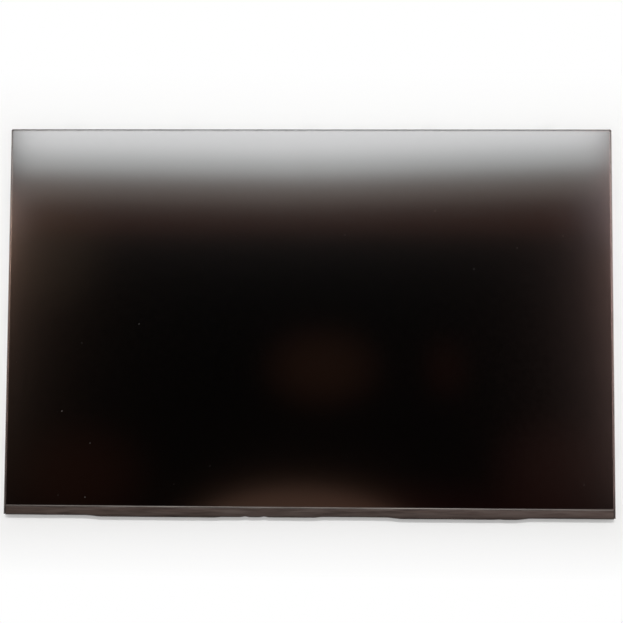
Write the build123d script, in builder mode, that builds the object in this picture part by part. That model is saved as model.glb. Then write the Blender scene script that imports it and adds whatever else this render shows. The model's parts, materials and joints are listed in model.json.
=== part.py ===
from build123d import *

import os

# A bare laptop screen panel of the 16 inch, 16:10 kind, lying face up as it rests on a table.
# Sizes are millimetres. +X runs along the long side, +Y to the top of the picture, +Z out of the screen.
# The origin is under the middle of the panel, level with the lowest point of the display socket.
# From the back to the front: control board, sheet metal cover, light guide and films in a moulded frame,
# and the liquid crystal cell with its polarizers. Driver films fold round the bottom edge to the board.

os.makedirs("parts", exist_ok=True)

# Picture area and the borders round it, which together make the outline
active_width = 344.68
active_height = 215.42
side_border = 2.66
top_border = 2.4
bottom_border = 7.1
corner_radius = 1.0

# Thicknesses, from the back to the front
socket_height = 1.05
board_thickness = 0.6
board_tape_thickness = 0.1
cover_sheet = 0.3
reflector_thickness = 0.1
guide_thickness = 0.55
diffuser_thickness = 0.1
lower_prism_thickness = 0.13
upper_prism_thickness = 0.15
shelf_thickness = 0.3
cell_tape_thickness = 0.07
rear_polarizer_thickness = 0.14
array_glass_thickness = 0.3
filter_glass_thickness = 0.3
front_polarizer_thickness = 0.18

# Clearances
film_play = 0.03
film_gap = 0.25
glass_gap = 0.15
cover_fit = 0.05
tape_gap = 0.05
shelf_gap = 0.25

# Liquid crystal cell
polarizer_inset = 0.65
polarizer_bottom_inset = 0.3
polarizer_corner = 0.5
rear_polarizer_margin = 0.45
filter_border = 0.65
glass_corner = 0.8
array_setback = 0.57
resin_width = 0.6
resin_height = 0.25
resin_rise = 0.06
resin_end_inset = 0.5
cell_tape_inset = 0.15

# Moulded frame
rim_wall = 0.5
rim_edge = 0.1
frame_wall = 0.8
hook_length = 8.0
hook_height = 0.5
hook_taper = 25.0
hook_play = 0.2
hook_recess = 0.06
side_hook_count = 3
long_hook_count = 5

# Optical films and light guide
ear_width = 9.0
ear_reach = 0.6
ear_play = 0.1
ear_row_spacing = 120.0
ear_column_spacing = 190.0
guide_border = 1.0
lug_length = 6.0
lug_offset = 28.5

# Light bar
light_bar_tape_thickness = 0.05
flex_thickness = 0.08
flex_end_inset = 2.0
led_count = 54
led_length = 3.0
led_depth = 0.8
led_height = 0.5
led_gap = 0.1
tail_center = -30.5
tail_width = 10.0
tail_play = 0.6
tail_bend_share = 0.45

# Back cover
bend_radius = 0.5
corner_relief = 1.6
plateau_depth = 0.25
plateau_slope = 45.0
plateau_radius = 8.0
plateau_side_margin = 9.0
plateau_top_margin = 8.0
plateau_board_margin = 2.5
bead_count = 2
bead_width = 6.0
bead_depth = 0.12
bead_end_margin = 14.0

# Source driver films and their chips
driver_film_width = 60.0
driver_film_thickness = 0.08
driver_film_bulge = 0.8
driver_bend_radius = 0.73
glass_bond = 2.6
board_bond = 1.8
chip_length = 32.0
chip_depth = 1.3
chip_height = 0.3

# Cover tape round the bottom edge
cover_tape_thickness = 0.08
cover_tape_radius = 0.9
cover_tape_end_inset = 0.2
cover_tape_front_gap = 0.08
cover_tape_back_reach = 0.7
cover_tape_slit = 0.3
cover_tape_back_flap = 6.0
wave_plateau_margin = 2.0
wave_length = 10.0

# Control board
board_end_margin = 12.0
board_setback = 3.2
arm_depth = 9.0
logic_depth = 16.0
logic_left = 62.0
logic_right = 62.0
board_corner = 0.8
board_notch_radius = 1.2
board_tape_inset = 0.6

# Ground foils between board and cover
foil_thickness = 0.08
foil_width = 16.0
foil_board_overlap = 2.2
foil_cover_overlap = 5.0
foil_end_margin = 30.0
foil_radius = 0.25

# Display socket on the board
socket_center = 8.0
socket_edge_inset = 0.15
housing_width = 20.2
housing_depth = 4.3
shell_thickness = 0.15
shell_depth = 3.2
shell_gap = 0.05
shell_foot = 1.1
mouth_width = 16.6
mouth_height = 0.45
mouth_depth = 2.6
mouth_roof = 0.18
contact_count = 30
contact_pitch = 0.5
contact_width = 0.2
contact_thickness = 0.12
contact_front_gap = 0.4
contact_foot = 0.5
contact_play = 0.02

# Backlight socket on the board
tail_socket_width = 12.6
tail_socket_depth = 3.4
tail_socket_height = 0.95
tail_socket_gap = 0.4
tail_insertion = 2.2
tail_slot_play = 0.15
tail_pin_count = 8
tail_pin_pitch = 1.0
tail_pin_width = 0.3
tail_pin_thickness = 0.12
tail_pin_foot = 0.6

# Packages on the board: sides, and heights below the board's face
package_height = 0.75
package_edge_margin = 1.9
package_gap = 3.0
timing_side = 9.0
power_side = 6.0
driver_side = 4.0
memory_length = 5.0
memory_width = 4.0
inductor_side = 4.4
inductor_height = 0.98
inductor_corner = 0.9
inductor_core_radius = 1.7
inductor_core_depth = 0.06
diode_length = 2.7
diode_width = 1.6
diode_height = 0.9
diode_tab = 0.5
diode_tab_height = 0.15
diode_gap = 0.8

# Chip capacitors and resistors
capacitor_length = 1.6
capacitor_width = 0.8
capacitor_height = 0.8
capacitor_pitch = 2.6
resistor_length = 1.0
resistor_width = 0.5
resistor_height = 0.35
resistor_pitch = 1.8
chip_row_gap = 1.0
chip_row_pitch = 2.0
arm_chip_pitch = 4.6
socket_chip_count = 8
timing_chip_count = 4
power_chip_count = 3
driver_chip_count = 2
arm_chip_count = 6

# Levels, from the table up
z_board_face = socket_height
z_board_back = z_board_face + board_thickness
z_cover_back = z_board_back + board_tape_thickness
z_floor = z_cover_back + cover_sheet
z_guide = z_floor + reflector_thickness
z_diffuser = z_guide + guide_thickness
z_lower_prism = z_diffuser + diffuser_thickness
z_upper_prism = z_lower_prism + lower_prism_thickness
z_shelf = z_upper_prism + upper_prism_thickness + film_play
z_cell_tape = z_shelf + shelf_thickness
z_array = z_cell_tape + cell_tape_thickness
z_filter = z_array + array_glass_thickness
z_face = z_filter + filter_glass_thickness
z_flange_top = z_shelf - cover_fit
z_hook = (z_floor + z_flange_top) / 2
z_flex = z_floor + light_bar_tape_thickness
z_led = z_flex + flex_thickness

# Lines across the panel, from its middle outwards
x_rim = active_width / 2 + side_border
x_glass = x_rim - rim_wall - glass_gap
x_wall = x_rim - cover_sheet - cover_fit
x_film = x_wall - frame_wall - film_gap
x_rear_polarizer = active_width / 2 + rear_polarizer_margin
x_shelf = x_rear_polarizer + shelf_gap
x_source_film = active_width / 4
wave_half = driver_film_width / 2 + wave_plateau_margin
x_board = x_source_film + wave_half + wave_length + board_end_margin

# Lines up the panel, from the bottom edge
y_top = (active_height + top_border + bottom_border) / 2
y_driver_film = -y_top + cover_tape_thickness + tape_gap
y_cover_bottom = y_driver_film + driver_film_bulge
y_wall_bottom = y_cover_bottom + cover_sheet + cover_fit
y_wall_top = y_top - cover_sheet - cover_fit
y_array_bottom = y_cover_bottom + array_setback
y_glass_top = y_top - rim_wall - glass_gap
y_active_top = y_top - top_border
y_active_bottom = y_active_top - active_height
y_filter_bottom = y_active_bottom - filter_border
y_rear_top = y_active_top + rear_polarizer_margin
y_rear_bottom = y_active_bottom - rear_polarizer_margin
y_film_top = y_wall_top - frame_wall - film_gap
y_guide_bottom = y_active_bottom - guide_border
y_led = y_guide_bottom - led_gap - led_depth / 2
y_flex_top = y_guide_bottom - led_gap / 2
y_flex_bottom = y_wall_bottom + frame_wall + film_gap
y_board_low = y_cover_bottom + board_setback
y_arm_high = y_board_low + arm_depth
y_board_high = y_board_low + logic_depth
y_plateau_low = y_board_high + plateau_board_margin
y_plateau_high = y_top - plateau_top_margin


def save(piece, name):
    """Names a finished piece and writes it."""
    piece.part.label = name
    export_step(piece.part, f"parts/{name}.step")


def plan_rectangle(half_x, low_y, high_y, mode=Mode.ADD):
    """Rectangle centred across the panel, from low_y to high_y."""
    with Locations((0, (low_y + high_y) / 2)):
        Rectangle(2 * half_x, high_y - low_y, mode=mode)


def side_planes(half_x, low_y, high_y, level):
    """Planes that look out of the four sides, each with the places of its hooks along the side."""
    middle = (low_y + high_y) / 2
    right = Plane((half_x, middle, level), x_dir=(0, 1, 0), z_dir=(1, 0, 0))
    left = Plane((-half_x, middle, level), x_dir=(0, -1, 0), z_dir=(-1, 0, 0))
    top = Plane((0, high_y, level), x_dir=(-1, 0, 0), z_dir=(0, 1, 0))
    bottom = Plane((0, low_y, level), x_dir=(1, 0, 0), z_dir=(0, -1, 0))
    short_row = GridLocations((high_y - low_y) / side_hook_count, 0, side_hook_count, 1)
    long_row = GridLocations(2 * half_x / long_hook_count, 0, long_hook_count, 1)
    return [(right, short_row), (left, short_row), (top, long_row), (bottom, long_row)]


def bent_strip(x, route, bend, width, thickness):
    """Flat strip of film or foil that follows a route in the YZ plane, with rounded bends."""
    with BuildPart() as strip:
        with BuildLine(Plane.YZ.offset(x)) as line:
            FilletPolyline(*route, radius=bend)
        with BuildSketch(Plane(line.line @ 0, x_dir=(1, 0, 0), z_dir=line.line % 0)):
            Rectangle(width, thickness)
        sweep()
    return strip


# Front polarizer, the matt film that is seen as the screen
with BuildPart() as front_polarizer:
    with BuildSketch(Plane.XY.offset(z_face)):
        plan_rectangle(
            x_glass - polarizer_inset,
            y_filter_bottom + polarizer_bottom_inset,
            y_glass_top - polarizer_inset,
        )
        fillet(vertices(), polarizer_corner)
    extrude(amount=front_polarizer_thickness)
save(front_polarizer, "front_polarizer")

# Colour filter glass, which stops short of the bonding ledge
with BuildPart() as colour_filter_glass:
    with BuildSketch(Plane.XY.offset(z_filter)):
        plan_rectangle(x_glass, y_filter_bottom, y_glass_top)
        chamfer(vertices(), glass_corner)
    extrude(amount=filter_glass_thickness)
save(colour_filter_glass, "colour_filter_glass")

# Transistor array glass, with the bonding ledge along the bottom
with BuildPart() as array_glass:
    with BuildSketch(Plane.XY.offset(z_array)):
        plan_rectangle(x_glass, y_array_bottom, y_glass_top)
        chamfer(vertices(), glass_corner)
    extrude(amount=array_glass_thickness)
save(array_glass, "array_glass")

# Rear polarizer
with BuildPart() as rear_polarizer:
    with BuildSketch(Plane.XY.offset(z_array - rear_polarizer_thickness)):
        plan_rectangle(x_rear_polarizer, y_rear_bottom, y_rear_top)
        fillet(vertices(), polarizer_corner)
    extrude(amount=rear_polarizer_thickness)
save(rear_polarizer, "rear_polarizer")

# Resin bead that seals the ledge against the edge of the colour filter glass
with BuildPart() as ledge_resin:
    with BuildSketch(Plane.YZ):
        with BuildLine():
            foot = (y_filter_bottom, z_filter)
            crest = (y_filter_bottom, z_filter + resin_height)
            toe = (y_filter_bottom - resin_width, z_filter)
            Line(toe, foot)
            Line(foot, crest)
            SagittaArc(crest, toe, -resin_rise)
        make_face()
    extrude(amount=x_glass - resin_end_inset, both=True)
save(ledge_resin, "ledge_resin")

# Double-sided tape that holds the cell to the frame's shelf
with BuildPart() as cell_tape:
    with BuildSketch(Plane.XY.offset(z_cell_tape)):
        plan_rectangle(
            x_glass - cell_tape_inset, y_array_bottom + cell_tape_inset, y_glass_top - cell_tape_inset
        )
        plan_rectangle(x_shelf, y_rear_bottom - shelf_gap, y_rear_top + shelf_gap, mode=Mode.SUBTRACT)
    extrude(amount=cell_tape_thickness)
save(cell_tape, "cell_tape")


def ear_rectangles(growth):
    """The locating ears of the optical films, or with some growth the pockets they sit in."""
    rows = [(side * x_film, row * ear_row_spacing / 2) for side in (-1, 1) for row in (-1, 1)]
    with Locations(*rows):
        Rectangle(2 * (ear_reach + growth), ear_width + 2 * growth)
    columns = [(column * ear_column_spacing / 2, y_film_top) for column in (-1, 1)]
    with Locations(*columns):
        Rectangle(ear_width + 2 * growth, 2 * (ear_reach + growth))


def lug_rectangles(growth):
    """The light guide's two side lugs, or with some growth the pockets they sit in."""
    with Locations((-x_film, y_guide_bottom + lug_offset), (x_film, y_guide_bottom + lug_offset)):
        Rectangle(2 * (ear_reach + growth), lug_length + 2 * growth)


# Moulded frame: wall, shelf under the cell, and a rim round three sides of the glass
with BuildPart() as mould_frame:
    with BuildSketch(Plane.XY.offset(z_floor)):
        plan_rectangle(x_wall, y_wall_bottom, y_wall_top)
        fillet(vertices(), corner_radius - cover_sheet - cover_fit)
        plan_rectangle(
            x_wall - frame_wall, y_wall_bottom + frame_wall, y_wall_top - frame_wall, mode=Mode.SUBTRACT
        )
    extrude(amount=z_shelf - z_floor)
    chamfer(faces().sort_by(Axis.Z)[0].outer_wire().edges(), bend_radius - cover_sheet)
    with BuildSketch(Plane.XY.offset(z_shelf)):
        plan_rectangle(x_rim, y_wall_bottom, y_top)
        fillet(vertices().group_by(Axis.Y)[-1], corner_radius)
        plan_rectangle(x_shelf, y_rear_bottom - shelf_gap, y_rear_top + shelf_gap, mode=Mode.SUBTRACT)
    extrude(amount=shelf_thickness)
    with BuildSketch(Plane.XY.offset(z_cell_tape)):
        plan_rectangle(x_rim, y_wall_bottom, y_top)
        fillet(vertices().group_by(Axis.Y)[-1], corner_radius)
        plan_rectangle(
            x_rim - rim_wall, y_wall_bottom - corner_radius, y_top - rim_wall, mode=Mode.SUBTRACT
        )
    extrude(amount=z_face - z_cell_tape)
    chamfer(edges().group_by(Axis.Z)[-1], rim_edge)
    with BuildSketch(Plane.XY.offset(z_floor)):
        ear_rectangles(ear_play)
        lug_rectangles(ear_play)
    extrude(amount=z_shelf - z_floor, mode=Mode.SUBTRACT)
    with BuildSketch(Plane.XY.offset(z_floor)):
        with Locations((tail_center, y_wall_bottom + frame_wall / 2)):
            Rectangle(tail_width + 2 * tail_play, frame_wall)
    extrude(amount=z_shelf - z_floor, mode=Mode.SUBTRACT)
    for plane, row in side_planes(x_rim, y_cover_bottom, y_top, z_hook):
        with BuildSketch(plane.offset(-cover_sheet - cover_fit)):
            with row:
                Rectangle(hook_length, hook_height)
        extrude(amount=cover_fit + cover_sheet - hook_recess, taper=hook_taper)
save(mould_frame, "mould_frame")


def optical_film(level, thickness):
    """Loose film that fills the frame, with locating ears on three sides."""
    with BuildPart() as film:
        with BuildSketch(Plane.XY.offset(level)):
            plan_rectangle(x_film, y_guide_bottom, y_film_top)
            ear_rectangles(0)
        extrude(amount=thickness)
    return film


save(optical_film(z_upper_prism, upper_prism_thickness), "upper_prism_film")
save(optical_film(z_lower_prism, lower_prism_thickness), "lower_prism_film")
save(optical_film(z_diffuser, diffuser_thickness), "diffuser_film")

# Light guide plate, held along the panel by its lugs
with BuildPart() as light_guide:
    with BuildSketch(Plane.XY.offset(z_guide)):
        plan_rectangle(x_film, y_guide_bottom, y_film_top)
        lug_rectangles(0)
    extrude(amount=guide_thickness)
save(light_guide, "light_guide")

# White reflector under the light guide
with BuildPart() as reflector_film:
    with BuildSketch(Plane.XY.offset(z_floor)):
        plan_rectangle(x_film, y_guide_bottom, y_film_top)
    extrude(amount=reflector_thickness)
save(reflector_film, "reflector_film")

# Light bar: adhesive, flexible circuit with its tail, and a row of side-emitting diodes
flex_half_length = x_film - flex_end_inset
z_flex_middle = z_flex + flex_thickness / 2
z_tail_middle = z_board_face - flex_thickness / 2
y_tail_bend = y_cover_bottom + cover_sheet / 2
y_tail_socket = y_board_low + board_bond + cover_tape_back_reach + tail_socket_gap
tail_bend_radius = tail_bend_share * (z_flex_middle - z_tail_middle)

with BuildPart() as light_bar_tape:
    with BuildSketch(Plane.XY.offset(z_floor)):
        plan_rectangle(flex_half_length, y_flex_bottom, y_flex_top)
    extrude(amount=light_bar_tape_thickness)
save(light_bar_tape, "light_bar_tape")

tail = bent_strip(
    tail_center,
    [
        (y_flex_bottom, z_flex_middle),
        (y_tail_bend, z_flex_middle),
        (y_tail_bend, z_tail_middle),
        (y_tail_socket + tail_insertion, z_tail_middle),
    ],
    tail_bend_radius,
    tail_width,
    flex_thickness,
)
with BuildPart() as light_bar_flex:
    with BuildSketch(Plane.XY.offset(z_flex)):
        plan_rectangle(flex_half_length, y_flex_bottom, y_flex_top)
    extrude(amount=flex_thickness)
    add(tail.part)
save(light_bar_flex, "light_bar_flex")

with BuildPart() as light_bar_leds:
    with BuildSketch(Plane.XY.offset(z_led)):
        with Locations((0, y_led)):
            with GridLocations(active_width / led_count, 0, led_count, 1):
                Rectangle(led_length, led_depth)
    extrude(amount=led_height)
save(light_bar_leds, "light_bar_leds")

# Back cover: a shallow folded pan with windows for the frame's hooks and a raised plateau
plateau_half_width = x_rim - plateau_side_margin
plateau_middle = (y_plateau_low + y_plateau_high) / 2
plateau_length = y_plateau_high - y_plateau_low
tail_notch = cover_sheet + tail_bend_radius + cover_fit + flex_thickness

with BuildPart() as back_cover:
    with BuildSketch(Plane.XY.offset(z_cover_back)):
        plan_rectangle(x_rim, y_cover_bottom, y_top)
    extrude(amount=z_flange_top - z_cover_back)
    fillet(edges().group_by(Axis.Z)[0], bend_radius)
    offset(amount=-cover_sheet, openings=faces().sort_by(Axis.Z)[-1])
    with BuildSketch(Plane.XY.offset(z_cover_back)):
        with Locations((0, (y_cover_bottom + y_top) / 2)):
            with GridLocations(2 * x_rim, y_top - y_cover_bottom, 2, 2):
                Rectangle(2 * corner_relief, 2 * corner_relief)
    extrude(amount=z_flange_top - z_cover_back, mode=Mode.SUBTRACT)
    with BuildSketch(Plane((0, plateau_middle, z_cover_back), x_dir=(1, 0, 0), z_dir=(0, 0, -1))):
        RectangleRounded(2 * plateau_half_width, plateau_length, plateau_radius)
    extrude(amount=plateau_depth, taper=plateau_slope)
    with BuildSketch(Plane((0, plateau_middle, z_floor), x_dir=(1, 0, 0), z_dir=(0, 0, -1))):
        RectangleRounded(
            2 * (plateau_half_width - cover_sheet),
            plateau_length - 2 * cover_sheet,
            plateau_radius - cover_sheet,
        )
    extrude(amount=plateau_depth, taper=plateau_slope, mode=Mode.SUBTRACT)
    bead_pitch = 2 * plateau_half_width / (bead_count + 1)
    bead_length = plateau_length - 2 * bead_end_margin
    for level, mode in ((z_floor - plateau_depth, Mode.ADD), (z_cover_back - plateau_depth, Mode.SUBTRACT)):
        with BuildSketch(Plane((0, plateau_middle, level), x_dir=(1, 0, 0), z_dir=(0, 0, 1))):
            with GridLocations(bead_pitch, 0, bead_count, 1):
                SlotOverall(bead_length, bead_width, rotation=90)
        extrude(amount=bead_depth, taper=plateau_slope, mode=mode)
    for plane, row in side_planes(x_rim, y_cover_bottom, y_top, z_hook):
        with BuildSketch(plane):
            with row:
                Rectangle(hook_length + 2 * hook_play, hook_height + 2 * hook_play)
        extrude(amount=-2 * cover_sheet, mode=Mode.SUBTRACT)
    with BuildSketch(Plane.XY.offset(z_cover_back)):
        with Locations((tail_center, y_cover_bottom)):
            Rectangle(tail_width + 2 * tail_play, 2 * tail_notch)
    extrude(amount=z_flange_top - z_cover_back, mode=Mode.SUBTRACT)
save(back_cover, "back_cover")


def board_outline(inset):
    """Long narrow board with a deeper logic field in the middle, drawn in from its edge by the inset."""
    plan_rectangle(x_board - inset, y_board_low + inset, y_arm_high - inset)
    with Locations(((logic_right - logic_left) / 2, (y_board_low + y_board_high) / 2)):
        Rectangle(logic_left + logic_right - 2 * inset, logic_depth - 2 * inset)


# Control board and the tape that holds it to the back cover
with BuildPart() as control_board:
    with BuildSketch(Plane.XY.offset(z_board_face)):
        board_outline(0)
        chamfer(vertices(), board_corner)
        with Locations((-x_board, y_arm_high - arm_depth / 2), (x_board, y_arm_high - arm_depth / 2)):
            Circle(board_notch_radius, mode=Mode.SUBTRACT)
    extrude(amount=board_thickness)
save(control_board, "control_board")

with BuildPart() as board_tape:
    with BuildSketch(Plane.XY.offset(z_board_back)):
        board_outline(board_tape_inset)
        with Locations((-x_board, y_arm_high - arm_depth / 2), (x_board, y_arm_high - arm_depth / 2)):
            notch_side = 2 * (board_notch_radius + board_tape_inset)
            Rectangle(notch_side, notch_side, mode=Mode.SUBTRACT)
    extrude(amount=board_tape_thickness)
save(board_tape, "board_tape")

# Source driver films, folded round the bottom edge from the glass to the board, and their chips
z_film_front = z_filter + driver_film_thickness / 2
z_film_back = z_board_face - driver_film_thickness / 2
y_film_run = y_driver_film + driver_film_thickness / 2
driver_route = [
    (y_array_bottom + glass_bond, z_film_front),
    (y_film_run, z_film_front),
    (y_film_run, z_film_back),
    (y_board_low + board_bond, z_film_back),
]
chip_middle = (y_film_run + driver_bend_radius + y_board_low) / 2

for side, film_x in (("left", -x_source_film), ("right", x_source_film)):
    source_film = bent_strip(
        film_x, driver_route, driver_bend_radius, driver_film_width, driver_film_thickness
    )
    save(source_film, f"source_film_{side}")
    with BuildPart() as source_driver:
        with BuildSketch(Plane.XY.offset(z_board_face)):
            with Locations((film_x, chip_middle)):
                Rectangle(chip_length, chip_depth)
        extrude(amount=chip_height)
    save(source_driver, f"source_driver_{side}")

# Cover tape: a flap along the ledge that wraps round the bottom edge, bulging where the films bend
deepest_film = max(driver_film_thickness, flex_thickness)
z_tape_top = z_filter + driver_film_thickness + tape_gap + cover_tape_thickness
z_tape_low = z_board_face - deepest_film - tape_gap - cover_tape_thickness
z_tape_end_low = z_cover_back - tape_gap - cover_tape_thickness
y_tape_front = y_filter_bottom - resin_width - cover_tape_front_gap
y_tape_back = y_board_low + board_bond + cover_tape_back_reach
y_tape_bulge = -y_top
y_tape_rest = y_cover_bottom - tape_gap - cover_tape_thickness
x_tape = x_glass - cover_tape_end_inset
x_tape_centre = x_board + cover_tape_slit


def wrap_core(inset, reach):
    """Solid bounded by the wrapped tape's outside, or by its inside where the inset is its thickness."""
    rest = y_tape_rest + inset
    bulge = y_tape_bulge + inset
    with BuildPart() as core:
        with BuildSketch(Plane.XY.offset(z_tape_low + inset)):
            with BuildLine() as outline:
                Line((-x_tape_centre, reach), (-x_tape_centre, rest))
                for film_x in (-x_source_film, x_source_film):
                    Line(outline.line @ 1, (film_x - wave_half - wave_length, rest))
                    Spline(
                        (film_x - wave_half - wave_length, rest),
                        (film_x - wave_half, bulge),
                        tangents=((1, 0), (1, 0)),
                    )
                    Line((film_x - wave_half, bulge), (film_x + wave_half, bulge))
                    Spline(
                        (film_x + wave_half, bulge),
                        (film_x + wave_half + wave_length, rest),
                        tangents=((1, 0), (1, 0)),
                    )
                Line(outline.line @ 1, (x_tape_centre, rest))
                Line((x_tape_centre, rest), (x_tape_centre, reach))
                Line((x_tape_centre, reach), (-x_tape_centre, reach))
            make_face()
        extrude(amount=z_tape_top - z_tape_low - 2 * inset)
        long_edges = core.edges().filter_by(lambda edge: abs(edge.tangent_at(0.5).Z) < 0.5)
        wave_edges = long_edges.filter_by(lambda edge: edge.center().Y < rest + inset / 2)
        fillet(wave_edges, cover_tape_radius - inset)
    return core.part


wrap_outside = wrap_core(0, y_tape_back)
wrap_inside = wrap_core(cover_tape_thickness, y_tape_back + cover_tape_slit)
end_middle = (x_tape + x_tape_centre + cover_tape_slit) / 2
end_route = [
    (y_tape_front, z_tape_top - cover_tape_thickness / 2),
    (y_tape_rest + cover_tape_thickness / 2, z_tape_top - cover_tape_thickness / 2),
    (y_tape_rest + cover_tape_thickness / 2, z_tape_end_low + cover_tape_thickness / 2),
    (y_cover_bottom + cover_tape_back_flap, z_tape_end_low + cover_tape_thickness / 2),
]
end_bends = (cover_tape_radius - cover_tape_thickness / 2, bend_radius + tape_gap + cover_tape_thickness / 2)
end_wrap = bent_strip(
    end_middle,
    end_route,
    end_bends,
    x_tape - x_tape_centre - cover_tape_slit,
    cover_tape_thickness,
)

with BuildPart() as cover_tape:
    add(wrap_outside)
    add(wrap_inside, mode=Mode.SUBTRACT)
    with BuildSketch(Plane.XY.offset(z_tape_top - cover_tape_thickness)):
        plan_rectangle(x_tape, y_tape_front, y_tape_back + cover_tape_slit)
    extrude(amount=cover_tape_thickness, mode=Mode.SUBTRACT)
    with BuildSketch(Plane.XY.offset(z_tape_top - cover_tape_thickness)):
        plan_rectangle(x_tape, y_tape_rest + cover_tape_radius, y_tape_front)
    extrude(amount=cover_tape_thickness)
    add(end_wrap.part)
    add(end_wrap.part.mirror(Plane.YZ))
save(cover_tape, "cover_tape")

# Ground foils, stepped from the board's face down to the back cover
foil_route = [
    (y_arm_high - foil_board_overlap, z_board_face - foil_thickness / 2),
    (y_arm_high + foil_radius, z_board_face - foil_thickness / 2),
    (y_arm_high + foil_radius, z_cover_back - foil_thickness / 2),
    (y_arm_high + foil_cover_overlap, z_cover_back - foil_thickness / 2),
]
foil_center = x_board - foil_end_margin
for side, foil_x in (("left", -foil_center), ("right", foil_center)):
    ground_foil = bent_strip(foil_x, foil_route, foil_radius, foil_width, foil_thickness)
    save(ground_foil, f"ground_foil_{side}")

# Display socket: moulded housing with a slot mouth, formed shell, and a row of contacts
y_mouth = y_board_high - socket_edge_inset
y_housing_back = y_mouth - housing_depth
z_mouth_top = shell_thickness + mouth_roof
z_contact = z_mouth_top + mouth_height - contact_thickness
y_heel = y_housing_back - contact_thickness - contact_play

with BuildPart() as display_socket_housing:
    with BuildSketch(Plane.XY.offset(shell_thickness)):
        with Locations((socket_center, y_mouth - housing_depth / 2)):
            Rectangle(housing_width, housing_depth)
    extrude(amount=z_board_face - shell_thickness)
    with BuildSketch(Plane.XY.offset(z_mouth_top)):
        with Locations((socket_center, y_mouth - mouth_depth / 2)):
            Rectangle(mouth_width, mouth_depth)
    extrude(amount=mouth_height, mode=Mode.SUBTRACT)
    with BuildSketch(Plane.XY.offset(z_contact - contact_play)):
        with Locations((socket_center, y_mouth - housing_depth / 2)):
            Rectangle(contact_count * contact_pitch, housing_depth)
    extrude(amount=contact_thickness + contact_play, mode=Mode.SUBTRACT)
save(display_socket_housing, "display_socket_housing")

with BuildPart() as contact:
    with BuildSketch(Plane.YZ):
        with BuildLine():
            Polyline(
                (y_mouth - contact_front_gap, z_contact),
                (y_heel, z_contact),
                (y_heel, z_board_face - contact_thickness),
                (y_heel - contact_foot, z_board_face - contact_thickness),
                (y_heel - contact_foot, z_board_face),
                (y_heel + contact_thickness, z_board_face),
                (y_heel + contact_thickness, z_contact + contact_thickness),
                (y_mouth - contact_front_gap, z_contact + contact_thickness),
                close=True,
            )
        make_face()
    extrude(amount=contact_width / 2, both=True)

with BuildPart() as display_socket_contacts:
    with Locations((socket_center, 0, 0)):
        with GridLocations(contact_pitch, 0, contact_count, 1):
            add(contact.part)
save(display_socket_contacts, "display_socket_contacts")

with BuildPart() as display_socket_shell:
    with BuildSketch(Plane.XZ.offset(-y_mouth)):
        inner_width = housing_width + 2 * shell_gap
        with Locations((socket_center, 0)):
            Rectangle(inner_width + 2 * shell_thickness, z_board_face, align=(Align.CENTER, Align.MIN))
        with Locations((socket_center, z_board_face - shell_thickness)):
            Rectangle(inner_width + 2 * shell_foot, shell_thickness, align=(Align.CENTER, Align.MIN))
        with Locations((socket_center, shell_thickness)):
            Rectangle(inner_width, z_board_face, align=(Align.CENTER, Align.MIN), mode=Mode.SUBTRACT)
    extrude(amount=shell_depth)
save(display_socket_shell, "display_socket_shell")

# Backlight socket, which takes the light bar's tail along the board's face
with BuildPart() as backlight_socket_housing:
    with BuildSketch(Plane.XY.offset(z_board_face - tail_socket_height)):
        with Locations((tail_center, y_tail_socket + tail_socket_depth / 2)):
            Rectangle(tail_socket_width, tail_socket_depth)
    extrude(amount=tail_socket_height)
    chamfer(edges().group_by(Axis.Z)[0].filter_by(Axis.X).sort_by(Axis.Y)[0], tail_socket_height / 3)
    with BuildSketch(Plane.XY.offset(z_board_face - flex_thickness - tail_slot_play)):
        with Locations((tail_center, y_tail_socket)):
            Rectangle(tail_width + 2 * tail_slot_play, 2 * (tail_insertion + tail_slot_play))
    extrude(amount=flex_thickness + tail_slot_play, mode=Mode.SUBTRACT)
save(backlight_socket_housing, "backlight_socket_housing")

with BuildPart() as backlight_socket_pins:
    with BuildSketch(Plane.XY.offset(z_board_face - tail_pin_thickness)):
        with Locations((tail_center, y_tail_socket + tail_socket_depth + tail_pin_foot / 2)):
            with GridLocations(tail_pin_pitch, 0, tail_pin_count, 1):
                Rectangle(tail_pin_width, tail_pin_foot)
    extrude(amount=tail_pin_thickness)
save(backlight_socket_pins, "backlight_socket_pins")


def chip_package(x, y, length, width, height):
    """Flat moulded package under the board's face."""
    with BuildPart() as package:
        with BuildSketch(Plane.XY.offset(z_board_face - height)):
            with Locations((x, y)):
                Rectangle(length, width)
        extrude(amount=height)
    return package


# Packages on one line of the logic field: controllers, backlight driver and memory
y_packages = y_board_high - package_edge_margin - timing_side / 2
socket_half = housing_width / 2 + shell_foot
timing_x = socket_center + socket_half + package_gap + timing_side / 2
power_x = socket_center - socket_half - package_gap - power_side / 2
memory_x = timing_x + timing_side / 2 + package_gap + memory_length / 2
driver_x = tail_center - tail_socket_width / 2 - package_gap - driver_side / 2
save(chip_package(timing_x, y_packages, timing_side, timing_side, package_height), "timing_controller")
save(chip_package(power_x, y_packages, power_side, power_side, package_height), "power_controller")
save(chip_package(driver_x, y_packages, driver_side, driver_side, package_height), "backlight_driver")
save(chip_package(memory_x, y_packages, memory_length, memory_width, package_height), "flash_memory")

# Power inductors: a square ferrite body with its round core showing
inductor_places = [
    (power_x - power_side / 2 - package_gap - inductor_side / 2, y_packages),
    (driver_x - driver_side / 2 - package_gap - inductor_side / 2, y_packages),
]
with BuildPart() as power_inductors:
    with BuildSketch(Plane.XY.offset(z_board_face - inductor_height)):
        with Locations(*inductor_places):
            Rectangle(inductor_side, inductor_side)
        chamfer(vertices(), inductor_corner)
    extrude(amount=inductor_height)
    with BuildSketch(Plane.XY.offset(z_board_face - inductor_height)):
        with Locations(*inductor_places):
            Circle(inductor_core_radius)
    extrude(amount=inductor_core_depth, mode=Mode.SUBTRACT)
save(power_inductors, "power_inductors")

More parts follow.
